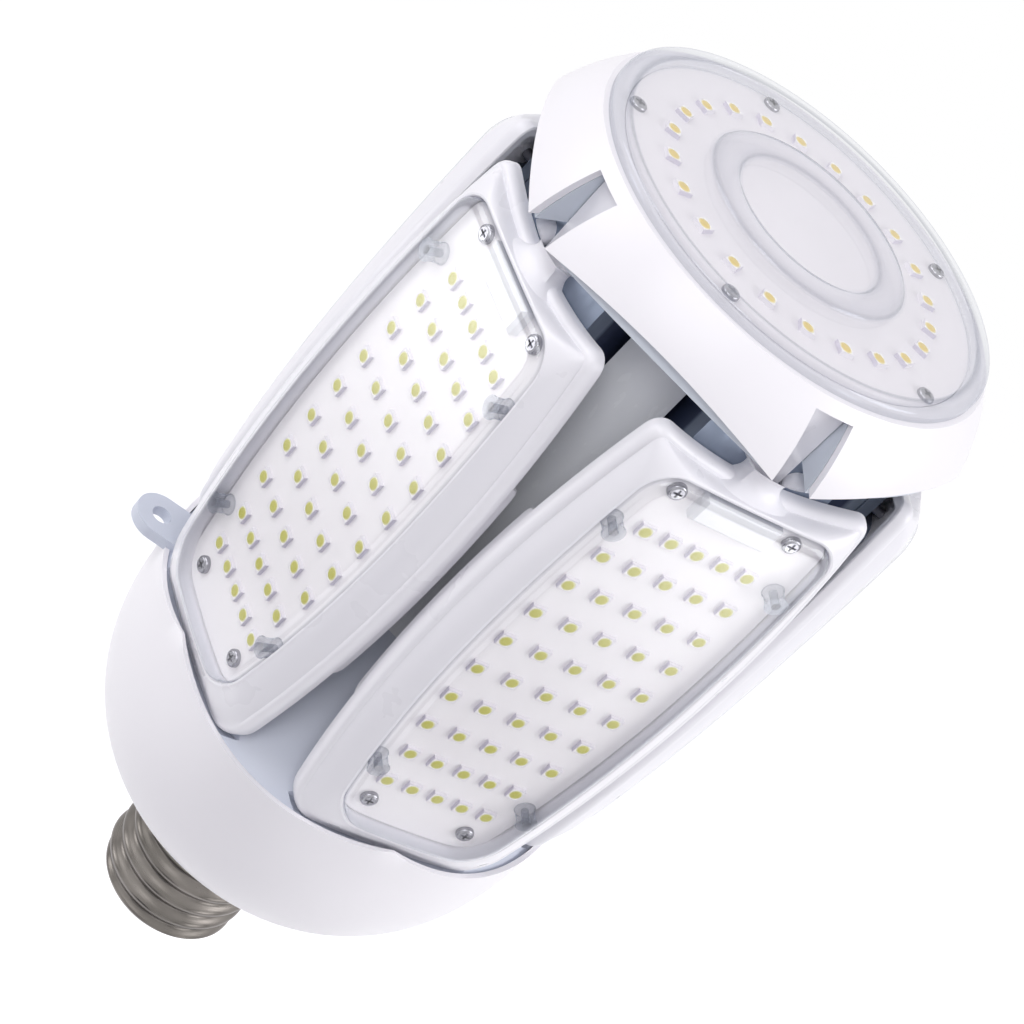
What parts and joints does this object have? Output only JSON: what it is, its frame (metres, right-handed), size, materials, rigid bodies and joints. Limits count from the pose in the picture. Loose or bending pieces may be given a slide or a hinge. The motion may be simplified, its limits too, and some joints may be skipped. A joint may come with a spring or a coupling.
{
  "type": "corn cob led bulb",
  "caption": "Large corn lamp: upright light pods set round a finned core, a flared light head, a rounded housing, a mogul screw base and a tether eye.",
  "frame": {"origin": "tip of the centre contact, on the lamp axis", "axes": "+Z along the lamp axis from the screw base to the light head; -Y points between two pods, towards the front; the tether eye is on the left, 72 degrees round from the front"},
  "size_m": [0.1291, 0.1213, 0.2699],
  "materials": {
    "nickel_shell": "satin nickel plate",
    "base_insulator": "black glazed insulator",
    "contact_metal": "tinned",
    "white_housing": "smooth moulded",
    "white_collar": "smooth moulded",
    "white_pod": "smooth moulded",
    "inner_plastic": "matte",
    "circuit_board": "solder mask",
    "transformer": "taped winding on a ferrite core",
    "capacitor": "sleeved can",
    "ferrite": "ferrite ring",
    "wire": "insulated wire",
    "heat_sink_metal": "extruded, bare",
    "column_metal": "satin silver white",
    "white_board": "white solder mask",
    "led_package": "white package with a yellow phosphor window",
    "screw_steel": "bright zinc",
    "clear_lens": "clear polycarbonate",
    "terminal_cover": "smooth moulded"
  },
  "bodies": {
    "root": {"screw_shell": "nickel_shell", "base_insulator": "base_insulator", "centre_contact": "contact_metal", "shell_sleeve": "white_housing", "lower_housing": "white_housing", "pod_collar": "white_collar", "driver_deck": "inner_plastic", "driver_board": "circuit_board", "driver_transformer": "transformer", "driver_capacitors": "capacitor", "driver_choke": "ferrite", "base_leads": "wire", "head_lead": "wire", "heat_sink": "heat_sink_metal", "head_cap": "white_housing", "head_chassis": "white_collar", "head_board": "white_board", "head_leds": "led_package", "head_screws": "screw_steel", "head_lens": "clear_lens", "column_1": "column_metal", "column_2": "column_metal", "column_3": "column_metal", "column_4": "column_metal", "column_5": "column_metal", "pod1_frame": "white_pod", "pod1_plate": "heat_sink_metal", "pod1_board": "white_board", "pod1_lens": "clear_lens", "pod1_leds": "led_package", "pod1_screws": "screw_steel", "pod1_cover": "terminal_cover", "pod2_frame": "white_pod", "pod2_plate": "heat_sink_metal", "pod2_board": "white_board", "pod2_lens": "clear_lens", "pod2_leds": "led_package", "pod2_screws": "screw_steel", "pod2_cover": "terminal_cover", "pod3_frame": "white_pod", "pod3_plate": "heat_sink_metal", "pod3_board": "white_board", "pod3_lens": "clear_lens", "pod3_leds": "led_package", "pod3_screws": "screw_steel", "pod3_cover": "terminal_cover", "pod4_frame": "white_pod", "pod4_plate": "heat_sink_metal", "pod4_board": "white_board", "pod4_lens": "clear_lens", "pod4_leds": "led_package", "pod4_screws": "screw_steel", "pod4_cover": "terminal_cover", "pod5_frame": "white_pod", "pod5_plate": "heat_sink_metal", "pod5_board": "white_board", "pod5_lens": "clear_lens", "pod5_leds": "led_package", "pod5_screws": "screw_steel", "pod5_cover": "terminal_cover"}
  },
  "joints": []
}
